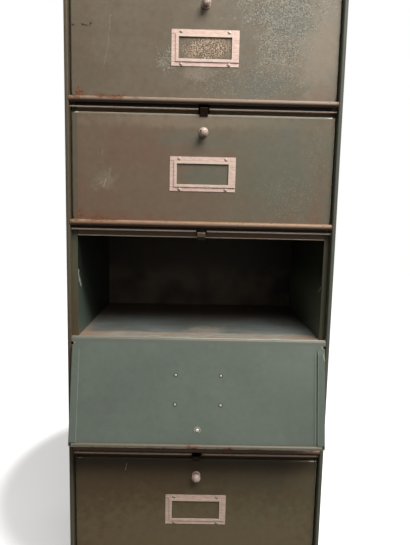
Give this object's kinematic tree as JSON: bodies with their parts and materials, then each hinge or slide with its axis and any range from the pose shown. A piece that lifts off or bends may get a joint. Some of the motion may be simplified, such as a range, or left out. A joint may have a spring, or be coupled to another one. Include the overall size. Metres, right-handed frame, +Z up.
{
  "type": "flap-front filing cabinet",
  "caption": "Narrow steel column cabinet with stacked compartments, drop-front hinged flaps, round knobs, spring catches and card holders",
  "frame": {"origin": "on the floor, in the middle of the box round the whole cabinet with its middle flap hanging open", "axes": "+Z up, the flaps face -Y, +X to the right of someone who stands in front"},
  "size_m": [0.4, 0.3294, 0.985],
  "materials": {
    "case_paint": "semi-gloss stove enamel, olive green, worn and rusted along the edges",
    "front_paint": "the same olive enamel, browned, rubbed through on the lips",
    "inner_paint": "cleaner grey-green enamel inside, rubbed to primer at the front of the shelves",
    "flap_paint": "olive enamel outside with speckled corrosion, grey-green inside, hinge edge rubbed to bare metal",
    "raw_aluminium": "matt cast and pressed aluminium, slightly warm",
    "bright_steel": "plain steel, dulled",
    "spring_steel": "dark brown spring steel, bright at the bends"
  },
  "bodies": {
    "cabinet": {"side_skin_left": "case_paint", "side_skin_right": "case_paint", "stop_angle_left": "front_paint", "stop_angle_right": "front_paint", "side_liner_left": "inner_paint", "side_liner_right": "inner_paint", "back_panel": "case_paint", "top_cap": "case_paint", "kick_plate": "case_paint", "ceiling_panel": "inner_paint", "shelf_1": "inner_paint", "shelf_2": "inner_paint", "shelf_3": "inner_paint", "shelf_4": "inner_paint", "bottom_shelf": "inner_paint", "front_rail_1": "front_paint", "front_rail_2": "front_paint", "front_rail_3": "front_paint", "front_rail_4": "front_paint", "front_rail_5": "front_paint", "hinge_rod_1": "bright_steel", "hinge_rod_2": "bright_steel", "hinge_rod_3": "bright_steel", "hinge_rod_4": "bright_steel", "hinge_rod_5": "bright_steel", "catch_rivets": "bright_steel", "catch_spring_4": "spring_steel"},
    "flap_1": {"flap_panel_1": "flap_paint", "knob_1": "raw_aluminium", "knob_screw_1": "bright_steel", "label_frame_1": "raw_aluminium", "label_rivets_1": "raw_aluminium"},
    "flap_2": {"flap_panel_2": "flap_paint", "knob_2": "raw_aluminium", "knob_screw_2": "bright_steel", "label_frame_2": "raw_aluminium", "label_rivets_2": "raw_aluminium"},
    "flap_3": {"flap_panel_3": "flap_paint", "knob_3": "raw_aluminium", "knob_screw_3": "bright_steel", "label_frame_3": "raw_aluminium", "label_rivets_3": "raw_aluminium"},
    "flap_4": {"flap_panel_4": "flap_paint", "knob_4": "raw_aluminium", "knob_screw_4": "bright_steel", "label_frame_4": "raw_aluminium", "label_rivets_4": "raw_aluminium"},
    "flap_5": {"flap_panel_5": "flap_paint", "knob_5": "raw_aluminium", "knob_screw_5": "bright_steel", "label_frame_5": "raw_aluminium", "label_rivets_5": "raw_aluminium"},
    "catch_1": {"catch_spring_1": "spring_steel"},
    "catch_2": {"catch_spring_2": "spring_steel"},
    "catch_3": {"catch_spring_3": "spring_steel"},
    "catch_5": {"catch_spring_5": "spring_steel"}
  },
  "joints": [
    {"name": "flap_1_hinge", "type": "hinge", "parent": "cabinet", "child": "flap_1", "pos_m": [0, -0.12176, 0.7932], "axis": [1, 0, 0], "range_deg": [0, 168], "deforming": ["catch_spring_1"]},
    {"name": "flap_2_hinge", "type": "hinge", "parent": "cabinet", "child": "flap_2", "pos_m": [0, -0.12176, 0.6164], "axis": [1, 0, 0], "range_deg": [0, 168], "deforming": ["catch_spring_2"]},
    {"name": "flap_3_hinge", "type": "hinge", "parent": "cabinet", "child": "flap_3", "pos_m": [0, -0.12176, 0.4396], "axis": [1, 0, 0], "range_deg": [-168, 0], "deforming": ["catch_spring_3"]},
    {"name": "flap_4_hinge", "type": "hinge", "parent": "cabinet", "child": "flap_4", "pos_m": [0, -0.12176, 0.2628], "axis": [1, 0, 0], "range_deg": [0, 0.1]},
    {"name": "flap_5_hinge", "type": "hinge", "parent": "cabinet", "child": "flap_5", "pos_m": [0, -0.12176, 0.086], "axis": [1, 0, 0], "range_deg": [0, 120], "deforming": ["catch_spring_5"]},
    {"name": "catch_1_flex", "type": "hinge", "parent": "cabinet", "child": "catch_1", "pos_m": [0, -0.06326, 0.9707], "axis": [1, 0, 0], "range_deg": [0, 2.6]},
    {"name": "catch_2_flex", "type": "hinge", "parent": "cabinet", "child": "catch_2", "pos_m": [0, -0.06326, 0.7939], "axis": [1, 0, 0], "range_deg": [0, 2.6]},
    {"name": "catch_3_flex", "type": "hinge", "parent": "cabinet", "child": "catch_3", "pos_m": [0, -0.06326, 0.6171], "axis": [1, 0, 0], "range_deg": [-2.6, 0]},
    {"name": "catch_5_flex", "type": "hinge", "parent": "cabinet", "child": "catch_5", "pos_m": [0, -0.06326, 0.2635], "axis": [1, 0, 0], "range_deg": [0, 2.6]}
  ],
  "couplings": [
    {"joint": "catch_1_flex", "follows": "flap_1_hinge", "ratio": 0.0154},
    {"joint": "catch_2_flex", "follows": "flap_2_hinge", "ratio": 0.0154},
    {"joint": "catch_3_flex", "follows": "flap_3_hinge", "ratio": 0.0154},
    {"joint": "catch_5_flex", "follows": "flap_5_hinge", "ratio": 0.0154}
  ]
}
